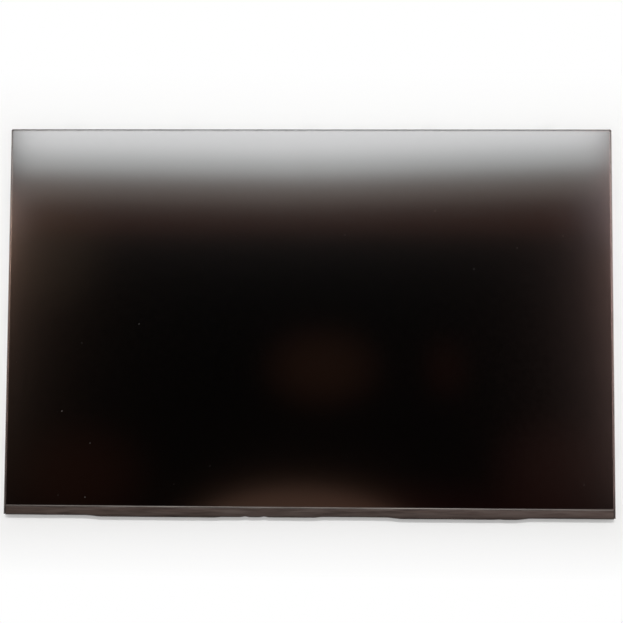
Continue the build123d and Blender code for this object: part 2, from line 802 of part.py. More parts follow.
# Rectifier diodes beside the inductors
diode_drop = inductor_side / 2 + diode_gap + diode_width / 2
diode_places = [(x, y - diode_drop) for x, y in inductor_places]
with BuildPart() as rectifier_diodes:
    with BuildSketch(Plane.XY.offset(z_board_face - diode_height)):
        with Locations(*diode_places):
            Rectangle(diode_length, diode_width)
    extrude(amount=diode_height)
    with BuildSketch(Plane.XY.offset(z_board_face - diode_tab_height)):
        with Locations(*diode_places):
            Rectangle(diode_length + 2 * diode_tab, diode_width / 2)
    extrude(amount=diode_tab_height)
save(rectifier_diodes, "rectifier_diodes")

# Chip capacitors in rows beside the packages and along the board's arms
y_low_row = y_tape_back + chip_row_gap + capacitor_width / 2
y_arm_row = (y_tape_back + y_arm_high) / 2
row_drop = chip_row_gap + capacitor_width / 2
capacitor_rows = [
    (socket_center, y_low_row, capacitor_pitch, socket_chip_count),
    (socket_center, y_low_row + chip_row_pitch, capacitor_pitch, socket_chip_count),
    (timing_x, y_packages + timing_side / 2 + row_drop, capacitor_pitch, timing_chip_count),
    (power_x, y_packages + power_side / 2 + row_drop, capacitor_pitch, power_chip_count),
    (driver_x, y_packages - driver_side / 2 - row_drop, capacitor_pitch, driver_chip_count),
    (-x_source_film, y_arm_row, arm_chip_pitch, arm_chip_count),
    (x_source_film, y_arm_row, arm_chip_pitch, arm_chip_count),
]


def chip_rows(rows, length, width):
    """Rows of small chip parts, each given by its middle, pitch and count."""
    for x, y, pitch, count in rows:
        with Locations((x, y)):
            with GridLocations(pitch, 0, count, 1):
                Rectangle(length, width)


with BuildPart() as chip_capacitors:
    with BuildSketch(Plane.XY.offset(z_board_face - capacitor_height)):
        chip_rows(capacitor_rows, capacitor_length, capacitor_width)
    extrude(amount=capacitor_height)
save(chip_capacitors, "chip_capacitors")

# Chip resistors in rows of their own
resistor_rows = [
    (timing_x, y_low_row, resistor_pitch, timing_chip_count),
    (memory_x, y_packages - memory_width / 2 - row_drop, resistor_pitch, power_chip_count),
    (power_x, y_low_row, resistor_pitch, power_chip_count),
    (power_x, y_low_row + chip_row_pitch, resistor_pitch, power_chip_count),
    (-x_source_film, y_arm_row + chip_row_pitch, arm_chip_pitch, arm_chip_count),
    (x_source_film, y_arm_row + chip_row_pitch, arm_chip_pitch, arm_chip_count),
]
with BuildPart() as chip_resistors:
    with BuildSketch(Plane.XY.offset(z_board_face - resistor_height)):
        chip_rows(resistor_rows, resistor_length, resistor_width)
    extrude(amount=resistor_height)
save(chip_resistors, "chip_resistors")
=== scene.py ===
"""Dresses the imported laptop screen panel: a finish for every node, the wrinkled tape along the bottom edge,
the small metal on the control board, dust on the screen, and the photograph's floor, light and camera."""

import json
import math
import random

import bmesh
import bpy
from mathutils import Euler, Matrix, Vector, noise


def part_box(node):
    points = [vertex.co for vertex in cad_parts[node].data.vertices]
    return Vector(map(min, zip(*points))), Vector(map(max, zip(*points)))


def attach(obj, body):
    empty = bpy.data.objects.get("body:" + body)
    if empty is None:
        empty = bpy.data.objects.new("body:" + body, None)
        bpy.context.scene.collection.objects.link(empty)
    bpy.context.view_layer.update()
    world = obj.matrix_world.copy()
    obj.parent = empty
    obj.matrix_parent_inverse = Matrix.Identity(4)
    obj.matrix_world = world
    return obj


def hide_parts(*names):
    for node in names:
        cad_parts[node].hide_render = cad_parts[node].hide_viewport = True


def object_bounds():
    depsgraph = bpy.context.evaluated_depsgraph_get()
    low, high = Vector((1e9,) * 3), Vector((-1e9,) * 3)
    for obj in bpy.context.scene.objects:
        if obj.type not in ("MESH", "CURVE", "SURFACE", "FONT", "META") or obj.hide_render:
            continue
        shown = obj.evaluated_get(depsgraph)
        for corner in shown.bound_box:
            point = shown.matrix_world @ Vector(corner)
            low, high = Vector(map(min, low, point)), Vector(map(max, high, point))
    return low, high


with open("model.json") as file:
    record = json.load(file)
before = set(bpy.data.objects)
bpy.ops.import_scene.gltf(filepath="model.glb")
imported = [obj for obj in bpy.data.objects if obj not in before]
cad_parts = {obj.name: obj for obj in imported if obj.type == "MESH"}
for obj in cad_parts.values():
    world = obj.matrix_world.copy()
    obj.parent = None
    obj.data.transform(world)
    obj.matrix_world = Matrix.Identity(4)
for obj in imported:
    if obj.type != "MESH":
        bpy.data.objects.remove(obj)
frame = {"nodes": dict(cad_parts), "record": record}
cad_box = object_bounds()
nodes = frame["nodes"]
subparts = frame["record"]["subparts"]
BODY = "root"
MM = 0.001

# Levels of the screen's face and of the board's face, which looks down, in metres
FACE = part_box("front_polarizer")[1].z
BOARD_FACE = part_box("control_board")[0].z

# Camera of the photograph, solved from the panel's four corners
IMAGE_SIDE = 623
FOCAL_PIXELS = 800
SENSOR_WIDTH = 36.0
CAMERA_PLACE = Vector((0.0089, -0.0134, 0.4659))
CAMERA_TURN = Euler([math.radians(angle) for angle in (2.417, 0.901, 0.278)])
CAMERA_CLIP = 0.01

# Mirrored lamps, given by points of the screen's plane, in metres, where the camera sees them reflected
LIGHT_HEIGHT = 1.0
LIGHT_STEP = 0.01
ELLIPSE_SHARE = math.pi / 4

# Bank beyond the top edge, brighter by steps, each with its near line and radiance
BANK_FAR = 0.130
BANK_SPLIT = 0.0005
BANK_SIDE = 0.175
BANK_STEPS = (
    (0.112, (1.7, 1.7, 1.8)),
    (0.097, (5.6, 5.4, 5.5)),
    (0.0845, (5.4, 5.8, 5.9)),
    (0.068, (1.05, 0.90, 0.78)),
)

# Halves of the bank, each with its direction and how much its near line climbs towards the side
BANK_HALVES = {"left": (-1, 0.003), "right": (1, 0.0065)}

# Brown skirt under the bank, slanted strips beyond both sides, and a glow under the middle of the bottom edge
SKIRT = ((-0.170, 0.052), (0.176, 0.085))
SKIRT_COLOUR = (0.26, 0.05, 0.01)
STRIP_WIDTH = 0.025
LEFT_STRIP = ((-0.186, 0.075), (-0.238, -0.110))
LEFT_COLOUR = (38, 24, 18)
RIGHT_STRIP = ((0.188, 0.100), (0.211, -0.110))
RIGHT_COLOUR = (42, 27, 24)
GLOW = ((-0.076, -0.172), (0.066, -0.096))
GLOW_COLOUR = (0.90, 0.48, 0.33)

# Faint pools of light, each with its middle, half size and radiance
POOL_SHARES = (1.0, 0.75, 0.5)
POOLS = {
    "high_pool": ((-0.152, 0.050), (0.036, 0.045), (0.16, 0.11, 0.07)),
    "middle_pool": ((0.008, -0.026), (0.036, 0.025), (0.15, 0.060, 0.033)),
    "side_pool": ((0.079, -0.026), (0.014, 0.020), (0.08, 0.020, 0.010)),
    "left_pool": ((-0.134, -0.090), (0.046, 0.034), (0.09, 0.026, 0.013)),
    "right_pool": ((0.143, -0.084), (0.040, 0.032), (0.12, 0.040, 0.030)),
    "bottom_pool": ((0.080, -0.125), (0.110, 0.034), (0.08, 0.016, 0.012)),
    "upper_left_pool": ((-0.182, 0.076), (0.022, 0.030), (0.42, 0.50, 0.62)),
    "upper_right_pool": ((0.184, 0.072), (0.032, 0.032), (0.16, 0.42, 0.56)),
}

# Key lamp behind the top edge, and a soft box below the table's level, in metres
KEY_PLACE = Vector((0.0, 1.1, 1.6))
KEY_SIZE = (0.4, 0.1)
KEY_SHARE = 0.36
UNDER_PLACE = Vector((0.35, 0.45, -0.8))
UNDER_SIZE = (1.0, 0.5)
UNDER_LEVEL = 0.55

# World: light on dull faces, grey below, and the shares of the way up where white ends and dark begins
AMBIENT = 0.63
BELOW_LEVEL = 0.45
HORIZON_BAND = (0.42, 0.72)
OVERHEAD_DARK = 0.95

# Floor under the panel, and how far away from the panel it turns white, in metres
FLOOR_HALF = 3.0
FLOOR_CELLS = 8
FLOOR_GAP = 0.02 * MM
FLOOR_COLOUR = (0.93, 0.93, 0.925)
WHITE_FROM = 0.008
WHITE_TO = 0.035

# Texture nodes: where most noise values lie, a wave's radians for each unit, and a mix node's colour sockets
NOISE_SPAN = (0.3, 0.7)
WAVE_RADIANS = 20
MIX_FIRST = 6
MIX_SECOND = 7
MIX_RESULT = 2

# Painted shade on the cover tape where it turns over the edge, by its height from the lowest line, and at its
# left end
TURN_SHADE_FROM = 1.2 * MM
TURN_SHADE_TO = 3.6 * MM
LEFT_END_SHADE = 70 * MM

# The ledge resin's painted highlight is brightest at this share of its length
RESIN_HIGHLIGHT_PEAK = 0.7

# Soft edges on the moulded and formed nodes, in millimetres, narrow enough to keep their sizes
EDGE_SEGMENTS = 2
EDGE_ANGLE = 40
ROUND_PROFILE = 0.5
EDGE_WIDTHS = {
    "mould_frame": 0.05, "display_socket_housing": 0.06, "display_socket_shell": 0.05,
    "backlight_socket_housing": 0.06, "timing_controller": 0.05, "power_controller": 0.05,
    "backlight_driver": 0.05, "flash_memory": 0.05, "power_inductors": 0.06, "rectifier_diodes": 0.05,
    "chip_capacitors": 0.06, "chip_resistors": 0.03, "control_board": 0.03,
}

# Cover tape, in millimetres: a flap over the ledge that wraps round to the back in three lengths
TAPE_HALF, TAPE_END_BACK, TAPE_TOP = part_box("cover_tape")[1] / MM
TAPE_BULGE, TAPE_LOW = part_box("cover_tape")[0].yz / MM
TAPE_THICKNESS = 0.08
TAPE_BEND = 0.9
TAPE_END_BEND = 0.63
FRONT_GAP = 0.08
BACK_STEP = 0.3
BULGE_REACH = 0.8
END_RISE = 0.78
TAPE_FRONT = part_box("ledge_resin")[0].y / MM - FRONT_GAP
TAPE_BACK = TAPE_END_BACK - BACK_STEP
TAPE_REST = TAPE_BULGE + BULGE_REACH
TAPE_END_LOW = TAPE_LOW + END_RISE

# Slits between the tape's lengths, just beyond the ends of the board
SLIT_WIDTH = 0.3
SLIT_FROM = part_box("control_board")[1].x / MM + SLIT_WIDTH
SLIT_TO = SLIT_FROM + SLIT_WIDTH

# Swelling of the tape over the driver films and over the backlight's lead
FILM_START, FILM_STOP = (corner.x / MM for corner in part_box("source_film_right"))
FILM_MARGIN = 2.0
FILM_PLACE = (FILM_START + FILM_STOP) / 2
FILM_SWELL = (FILM_STOP - FILM_START) / 2 + FILM_MARGIN
FILM_FADE = 10.0
LEAD_PLACE = -23.0
LEAD_SWELL = 26.0
LEAD_FADE = 6.0
LEAD_REACH = 0.48

# Pinches beside the lead and in the right bulge, each with its place, width and depth
PINCHES = ((-36.0, 1.7, 0.42), (-25.0, 1.7, 0.46), (109.0, 2.2, 0.16), (128.0, 3.0, 0.14))

# Columns along the tape, and rows over its flap, upper bend, wall, lower bend and back
TAPE_STEP = 0.75
TAPE_ROWS = (12, 8, 5, 8, 12)

# Creases of the tape: two kinds of fold, each with its length, width, slice of the noise and share
CREASE_HEIGHT = 0.05
CREASE_BASE = 0.45
CREASE_ROW = 0.35
FOLDS = ((16, 1.1, 1.7, 0.75), (5, 0.6, 6.3, 0.35))

# Wander of the tape's front and back edges: its size, and each edge's length and slice of the noise
EDGE_WANDER = 0.09
FRONT_WANDER = (23, 3.1)
BACK_WANDER = (17, 8.7)

# Dust on the screen: the larger specks by their pixel places in the photograph, and sizes in millimetres
SPECK_PIXELS = (
    (90, 443), (210, 466), (139, 324), (174, 484), (474, 269), (85, 497), (82, 343), (62, 411), (58, 495),
    (563, 236), (435, 211), (345, 235), (517, 248), (584, 485),
)
SPECK_SIZES = (0.15, 0.21)
FINE_SPECKS = 70
FINE_SIZES = (0.03, 0.07)
SEED = 11

# Shape of a speck, as shares of its size, with dents as shares of its reach and the share it stands clear
SPECK_LENGTHS = (0.8, 1.5)
SPECK_WIDTHS = (0.6, 1.0)
SPECK_HEIGHT = 0.4
SPECK_DENTS = (0.75, 1.0)
SPECK_SEAT = 0.6

# Metal ends and solder of the chip parts, in millimetres and shares of the chip
CHIP_NODES = ("chip_capacitors", "chip_resistors")
CAP_SHARE = 0.25
CAP_SKIN = 0.015
CAP_EDGE = 0.03
FILLET_REACH = 0.22
FILLET_RISE = 0.55
FILLET_HOLLOW = (0.35, 0.32)

# Pads round the packages, in millimetres
SQUARE_PACKAGES = ("timing_controller", "power_controller", "backlight_driver")
MEMORY_PACKAGE = "flash_memory"
PAD_HEIGHT = 0.035
PAD_EDGE = PAD_HEIGHT / 3
PAD_WIDTH = 0.26
PAD_OUT = 0.30
PAD_UNDER = 0.10
PAD_PITCH = 0.5
PAD_MARGIN = 0.7
MEMORY_PITCH = 0.8

# Test pads along the arms of the board, clear of the ground foils, in millimetres
TEST_RADIUS = 0.45
TEST_PITCH = 6.2
TEST_LINE = 1.1
TEST_FROM = 62.0
TEST_TO = 136.0
FOIL_CLEAR = 9.5

# Drum cores and moulded marks, in millimetres and as a share of the inductor's half width
CORE_SHARE = 0.7
CORE_HEIGHT = 0.05
MARK_RADIUS = 0.22
MARK_INSET = 0.75
MARK_HEIGHT = 0.008
DISC_SIDES = 28
DISC_TAPER = 0.94

# Distance in metres under which two corners of a mesh are one, and decimals to which boxes are put in order
WELD = 1e-7
ORDER_DECIMALS = 6


def add_camera():
    data = bpy.data.cameras.new("photo_camera")
    data.sensor_width = SENSOR_WIDTH
    data.lens = SENSOR_WIDTH * FOCAL_PIXELS / IMAGE_SIDE
    data.clip_start = CAMERA_CLIP
    camera = bpy.data.objects.new("photo_camera", data)
    camera.location = CAMERA_PLACE
    camera.rotation_euler = CAMERA_TURN
    bpy.context.scene.collection.objects.link(camera)
    bpy.context.scene.camera = camera


def photo_point(across, down, level):
    """The point at a level that the camera sees at a pixel of the photograph."""
    middle = IMAGE_SIDE / 2
    ray = Vector(((across - middle) / FOCAL_PIXELS, (middle - down) / FOCAL_PIXELS, -1))
    ray.rotate(CAMERA_TURN)
    return CAMERA_PLACE + ray * ((level - CAMERA_PLACE.z) / ray.z)


def mirrored(x, y, height):
    """Where the camera's ray to a point of the screen, thrown back by the screen, reaches a height."""
    reach = (height - FACE) / (CAMERA_PLACE.z - FACE)
    return Vector((x + (x - CAMERA_PLACE.x) * reach, y + (y - CAMERA_PLACE.y) * reach, height))


def mirrored_pair(first, second):
    """Two points thrown up to the next lamp's own height, as lamps at one height hide each other."""
    height = LIGHT_HEIGHT + LIGHT_STEP * len(bpy.data.lights)
    return mirrored(*first, height), mirrored(*second, height)


def area_light(name, centre, size, turn, radiance, shape="RECTANGLE"):
    """A level lamp that is seen in shiny faces and leaves dull ones to the key lamp."""
    brightest = max(radiance)
    filled = ELLIPSE_SHARE if shape == "ELLIPSE" else 1
    data = bpy.data.lights.new(name, "AREA")
    data.shape = shape
    data.size, data.size_y = size
    data.energy = brightest * math.pi * size[0] * size[1] * filled
    data.color = [level / brightest for level in radiance]
    lamp = bpy.data.objects.new(name, data)
    lamp.location = centre
    lamp.rotation_euler.z = turn
    lamp.visible_diffuse = False
    bpy.context.scene.collection.objects.link(lamp)
    return lamp


def level_light(name, low, high, radiance, shape="RECTANGLE"):
    """A lamp whose reflection fills a rectangle, or the ellipse inside it, of the screen's plane."""
    first, last = mirrored_pair(low, high)
    area_light(name, (first + last) / 2, (last.x - first.x, last.y - first.y), 0, radiance, shape)


def pool_light(name, middle, half_size, radiance):
    """Ellipses one inside the other, whose reflection fades from a middle outwards."""
    shared = [level / len(POOL_SHARES) for level in radiance]
    for count, share in enumerate(POOL_SHARES):
        low = [place - half * share for place, half in zip(middle, half_size)]
        high = [place + half * share for place, half in zip(middle, half_size)]
        level_light(f"{name}_{count}", low, high, shared, "ELLIPSE")


def strip_light(name, ends, side, width, radiance):
    """A strip lamp whose inner edge is reflected along the line between two points of the screen's plane."""
    upper, lower = mirrored_pair(*ends)
    along = upper - lower
    spread = along.length / (Vector(ends[0]) - Vector(ends[1])).length
    outward = Vector((along.y, -along.x, 0)).normalized() * side
    centre = (upper + lower) / 2 + outward * width * spread / 2
    area_light(name, centre, (along.length, width * spread), math.atan2(along.y, along.x), radiance)


def bank_lights():
    """Each step of the bank has two halves, whose near lines climb from the middle towards the sides."""
    for count, (near, radiance) in enumerate(BANK_STEPS):
        for half, (side, rise) in BANK_HALVES.items():
            ends = sorted(((side * BANK_SPLIT, near), (side * BANK_SIDE, near + rise)), reverse=True)
            strip_light(f"bank_{count}_{half}", ends, -1, BANK_FAR - near, radiance)


def key_light():
    """The lamp behind the top edge that throws the narrow shadow along the bottom edge."""
    level_factor = KEY_PLACE.z / KEY_PLACE.length
    needed = KEY_SHARE * math.pi * KEY_PLACE.length_squared / level_factor
    lamp = area_light("key", KEY_PLACE, KEY_SIZE, 0, (needed / (KEY_SIZE[0] * KEY_SIZE[1]),) * 3)
    lamp.rotation_euler = (-KEY_PLACE).to_track_quat("-Z", "Y").to_euler()
    lamp.visible_diffuse = True


def under_light():
    """A soft box below the table's level that shades the metal back when it is seen from below."""
    lamp = area_light("under_box", UNDER_PLACE, UNDER_SIZE, 0, (UNDER_LEVEL,) * 3)
    lamp.rotation_euler.x = math.pi


def add_lights():
    key_light()
    under_light()
    bank_lights()
    level_light("skirt", *SKIRT, SKIRT_COLOUR)
    level_light("glow", *GLOW, GLOW_COLOUR, shape="ELLIPSE")
    strip_light("left_strip", LEFT_STRIP, -1, STRIP_WIDTH, LEFT_COLOUR)
    strip_light("right_strip", RIGHT_STRIP, 1, STRIP_WIDTH, RIGHT_COLOUR)
    for name, (middle, half_size, radiance) in POOLS.items():
        pool_light(name, middle, half_size, radiance)


def add_world():
    """Plain white to the eye. Dull faces get an even dim light. Shiny faces see white round the horizon, grey
    below and, as the screen shows it, dark overhead."""
    world = bpy.data.worlds.new("studio")
    bpy.context.scene.world = world
    world.use_nodes = True
    world_nodes = world.node_tree.nodes
    links = world.node_tree.links
    path = world_nodes.new("ShaderNodeLightPath")
    height = world_nodes.new("ShaderNodeSeparateXYZ")
    links.new(world_nodes.new("ShaderNodeTexCoord").outputs["Generated"], height.inputs[0])
    ramp = world_nodes.new("ShaderNodeValToRGB")
    ramp.color_ramp.interpolation = "EASE"
    ramp.color_ramp.elements[0].color = (*(BELOW_LEVEL,) * 3, 1)
    ramp.color_ramp.elements[1].color = (0, 0, 0, 1)
    for place in HORIZON_BAND:
        ramp.color_ramp.elements.new(place).color = (1, 1, 1, 1)
    ramp.color_ramp.elements[3].position = OVERHEAD_DARK
    upward = world_nodes.new("ShaderNodeMapRange")
    upward.inputs["From Min"].default_value = -1.0
    links.new(height.outputs["Z"], upward.inputs["Value"])
    links.new(upward.outputs["Result"], ramp.inputs[0])
    shiny = world_nodes.new("ShaderNodeMath")
    shiny.operation = "MAXIMUM"
    links.new(path.outputs["Is Glossy Ray"], shiny.inputs[0])
    links.new(path.outputs["Is Transmission Ray"], shiny.inputs[1])
    level = world_nodes.new("ShaderNodeMix")
    links.new(shiny.outputs[0], level.inputs["Factor"])
    level.inputs["A"].default_value = AMBIENT
    links.new(ramp.outputs["Color"], level.inputs["B"])
    seen = world_nodes.new("ShaderNodeMix")
    links.new(path.outputs["Is Camera Ray"], seen.inputs["Factor"])
    links.new(level.outputs["Result"], seen.inputs["A"])
    seen.inputs["B"].default_value = 1.0
    background = world_nodes["Background"].inputs
    background["Color"].default_value = (1, 1, 1, 1)
    links.new(seen.outputs["Result"], background["Strength"])


class Finish:
    """A Principled material and the nodes that feed it. Patterns are laid out in the part's own metres."""

    def __init__(self, name, colour, roughness, metallic=0.0):
        self.material = bpy.data.materials.new(name)
        self.material.use_nodes = True
        self.tree = self.material.node_tree
        self.shader = self.tree.nodes["Principled BSDF"]
        self.feed(self.shader, "Base Color", (*colour, 1))
        self.feed(self.shader, "Roughness", roughness)
        self.feed(self.shader, "Metallic", metallic)
        self.place = self.node("ShaderNodeTexCoord").outputs["Object"]

    def node(self, kind, **settings):
        made = self.tree.nodes.new(kind)
        for name, value in settings.items():
            setattr(made, name, value)
        return made

    def feed(self, node, socket, source):
        if isinstance(source, bpy.types.NodeSocket):
            self.tree.links.new(source, node.inputs[socket])
        else:
            node.inputs[socket].default_value = source

    def shaders(self, factor, first, second):
        made = self.node("ShaderNodeMixShader")
        self.feed(made, 0, factor)
        self.feed(made, 1, first)
        self.feed(made, 2, second)
        return made.outputs["Shader"]

    def along(self, axis):
        """One of the part's coordinates by itself."""
        made = self.node("ShaderNodeSeparateXYZ")
        self.feed(made, 0, self.place)
        return made.outputs[axis]

    def laid(self, scale):
        """The part's coordinates, multiplied along each axis, or alike along all three by a single number."""
        made = self.node("ShaderNodeVectorMath", operation="MULTIPLY")
        self.feed(made, 0, self.place)
        self.feed(made, 1, scale if isinstance(scale, tuple) else (scale,) * 3)
        return made.outputs[0]

    def grain(self, scale, detail=2.0):
        """Noise with a number of features per metre."""
        made = self.node("ShaderNodeTexNoise")
        self.feed(made, "Vector", self.laid(scale))
        self.feed(made, "Scale", 1.0)
        self.feed(made, "Detail", detail)
        return made.outputs["Fac"]

    def cells(self, scale, output="Distance", **settings):
        """Irregular cells, a number of them per metre."""
        made = self.node("ShaderNodeTexVoronoi", **settings)
        self.feed(made, "Vector", self.laid(scale))
        self.feed(made, "Scale", 1.0)
        return made.outputs[output]

    def ribs(self, direction, scale):
        """Even waves across one axis, a number of them per metre."""
        made = self.node("ShaderNodeTexWave", bands_direction=direction, wave_profile="SIN")
        self.feed(made, "Vector", self.laid(scale / WAVE_RADIANS * math.tau))
        self.feed(made, "Scale", 1.0)
        return made.outputs["Fac"]

    def ranged(self, source, span, result=(0.0, 1.0)):
        """A value mapped from one range to another, and held at its ends."""
        made = self.node("ShaderNodeMapRange")
        for socket, value in zip(("Value", "From Min", "From Max", "To Min", "To Max"),
                                 (source, *span, *result)):
            self.feed(made, socket, value)
        return made.outputs["Result"]

    def combined(self, operation, first, second):
        made = self.node("ShaderNodeMath", operation=operation)
        self.feed(made, 0, first)
        self.feed(made, 1, second)
        return made.outputs[0]

    def blend(self, factor, first, second):
        made = self.node("ShaderNodeMix", data_type="RGBA")
        self.feed(made, 0, factor)
        for socket, colour in ((MIX_FIRST, first), (MIX_SECOND, second)):
            self.feed(made, socket, (*colour, 1) if isinstance(colour, tuple) else colour)
        return made.outputs[MIX_RESULT]

    def specular(self, level):
        self.feed(self.shader, "Specular IOR Level", level)
        return self

    def colour(self, source):
        self.feed(self.shader, "Base Color", source)
        return self

    def rough(self, source):
        self.feed(self.shader, "Roughness", source)
        return self

    def bump(self, height, depth):
        """Relief of a height pattern, with its depth in metres."""
        made = self.node("ShaderNodeBump")
        self.feed(made, "Strength", 1.0)
        self.feed(made, "Distance", depth)
        self.feed(made, "Height", height)
        self.feed(self.shader, "Normal", made.outputs["Normal"])
        return self


def antiglare_polarizer():
    finish = Finish("antiglare_polarizer", (0.0004, 0.0003, 0.0002), 0.115)
    finish.specular(0.7)
    haze = finish.grain(260, detail=4)
    finish.rough(finish.ranged(haze, NOISE_SPAN, (0.111, 0.119)))
    return finish.colour(finish.blend(haze, (0.0002, 0.0001, 0.0001), (0.0006, 0.0004, 0.0003)))


def dark_polarizer():
    finish = Finish("dark_polarizer", (0.012, 0.010, 0.009), 0.2)
    return finish.rough(finish.ranged(finish.grain(400), NOISE_SPAN, (0.16, 0.26)))


def cell_glass():
    """Bare margin of the cell: glass over the black border layer, with fine leads towards the ledge."""
    finish = Finish("cell_glass", (0.02, 0.02, 0.022), 0.2)
    finish.specular(0.8)
    leads = finish.ranged(finish.ribs("X", 4000), (0.55, 0.75))
    finish.colour(finish.blend(leads, (0.014, 0.014, 0.016), (0.05, 0.048, 0.045)))
    return finish.rough(finish.ranged(finish.grain(120), NOISE_SPAN, (0.18, 0.22)))


def sealing_resin():
    """Resin along the ledge with streaky flow, and a painted highlight that is brightest a little right of
    the middle and darker towards its ends.
    """
    finish = Finish("sealing_resin", (0.25, 0.23, 0.215), 0.22)
    low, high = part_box("ledge_resin")
    highlight_peak = low.x + RESIN_HIGHLIGHT_PEAK * (high.x - low.x)
    # Painted highlight: paler towards the peak and darker towards both ends
    rising = finish.ranged(finish.along("X"), (low.x, highlight_peak), (-0.15, 0.15))
    falling = finish.ranged(finish.along("X"), (highlight_peak, high.x), (0.15, -0.08))
    painted_highlight = finish.combined("MINIMUM", rising, falling)
    resin_and_highlight = finish.combined("ADD", finish.grain((26, 900, 900), detail=4), painted_highlight)
    flow_and_highlight = finish.ranged(resin_and_highlight, NOISE_SPAN)
    finish.colour(finish.blend(flow_and_highlight, (0.10, 0.088, 0.080), (0.38, 0.345, 0.32)))
    return finish.bump(flow_and_highlight, 0.03 * MM)


def black_adhesive():
    finish = Finish("black_adhesive", (0.012, 0.012, 0.012), 0.6)
    return finish.bump(finish.grain(2500), 0.01 * MM)


def frame_resin():
    finish = Finish("frame_resin", (0.022, 0.021, 0.021), 0.3)
    finish.specular(0.9)
    texture = finish.grain(5200, detail=3)
    scuffs = finish.ranged(finish.grain((70, 70, 300), detail=5), (0.55, 0.72))
    finish.colour(finish.blend(scuffs, (0.018, 0.017, 0.017), (0.040, 0.038, 0.037)))
    finish.rough(finish.ranged(texture, NOISE_SPAN, (0.24, 0.34)))
    return finish.bump(texture, 0.003 * MM)


def prism_film():
    finish = Finish("prism_film", (0.62, 0.64, 0.66), 0.15)
    return finish.bump(finish.ribs("Y", 8000), 0.02 * MM)


def diffuser_sheet():
    finish = Finish("diffuser_sheet", (0.72, 0.73, 0.74), 0.6)
    return finish.bump(finish.grain(9000), 0.01 * MM)


def guide_acrylic():
    finish = Finish("guide_acrylic", (0.70, 0.75, 0.77), 0.08)
    return finish.bump(finish.cells(1500), 0.01 * MM)


def white_reflector():
    finish = Finish("white_reflector", (0.85, 0.85, 0.85), 0.35)
    return finish.bump(finish.grain(3000), 0.005 * MM)


def cover_sheet_metal():
    """Rolled aluminium sheet with fine brushing along the panel, a little stained by handling."""
    finish = Finish("cover_sheet_metal", (0.60, 0.61, 0.62), 0.3, metallic=1.0)
    brushing = finish.grain((18, 3600, 3600), detail=3)
    handling = finish.ranged(finish.grain((16, 60, 60), detail=6), (0.45, 0.75), (0.0, 0.10))
    finish.colour(finish.blend(brushing, (0.57, 0.58, 0.59), (0.65, 0.66, 0.67)))
    streaks = finish.ranged(brushing, NOISE_SPAN, (0.25, 0.33))
    finish.rough(finish.combined("ADD", streaks, handling))
    return finish.bump(brushing, 0.006 * MM)


def white_flex():
    finish = Finish("white_flex", (0.74, 0.72, 0.64), 0.4)
    return finish.bump(finish.ranged(finish.ribs("X", 900), (0.6, 0.7)), 0.015 * MM)


def led_package():
    finish = Finish("led_package", (0.85, 0.80, 0.50), 0.3)
    return finish.bump(finish.grain(4000), 0.01 * MM)


def solder_mask():
    """Green mask over copper: blocks of level and upright tracks, poured areas and small plated holes."""
    finish = Finish("solder_mask", (0.010, 0.070, 0.035), 0.3)
    block = finish.node("ShaderNodeSeparateColor")
    finish.feed(block, 0, finish.cells((150, 310, 1), "Color", distance="CHEBYCHEV"))
    level = finish.combined("LESS_THAN", block.outputs["Red"], 0.4)
    upright = finish.combined("GREATER_THAN", block.outputs["Red"], 0.72)
    level_tracks = finish.ranged(finish.ribs("Y", 2300), (0.62, 0.74))
    upright_tracks = finish.ranged(finish.ribs("X", 2300), (0.62, 0.74))
    copper = finish.combined("MAXIMUM", finish.combined("MULTIPLY", level, level_tracks),
                             finish.combined("MULTIPLY", upright, upright_tracks))
    holes = finish.ranged(finish.cells((430, 430, 1)), (0.09, 0.12), (1.0, 0.0))
    pour = finish.blend(block.outputs["Green"], (0.007, 0.052, 0.026), (0.010, 0.066, 0.033))
    masked = finish.blend(copper, pour, (0.017, 0.110, 0.054))
    finish.colour(finish.blend(holes, masked, (0.30, 0.22, 0.09)))
    finish.rough(finish.ranged(finish.grain(900), NOISE_SPAN, (0.24, 0.36)))
    return finish.bump(finish.combined("SUBTRACT", copper, holes), 0.02 * MM)


def driver_film():
    finish = Finish("driver_film", (0.20, 0.085, 0.025), 0.25)
    lines = finish.ranged(finish.ribs("X", 5000), (0.45, 0.6))
    finish.colour(finish.blend(lines, (0.16, 0.065, 0.02), (0.34, 0.19, 0.08)))
    return finish.bump(lines, 0.008 * MM)


def driver_silicon():
    finish = Finish("driver_silicon", (0.05, 0.05, 0.058), 0.12)
    return finish.rough(finish.ranged(finish.grain(700), NOISE_SPAN, (0.08, 0.2)))


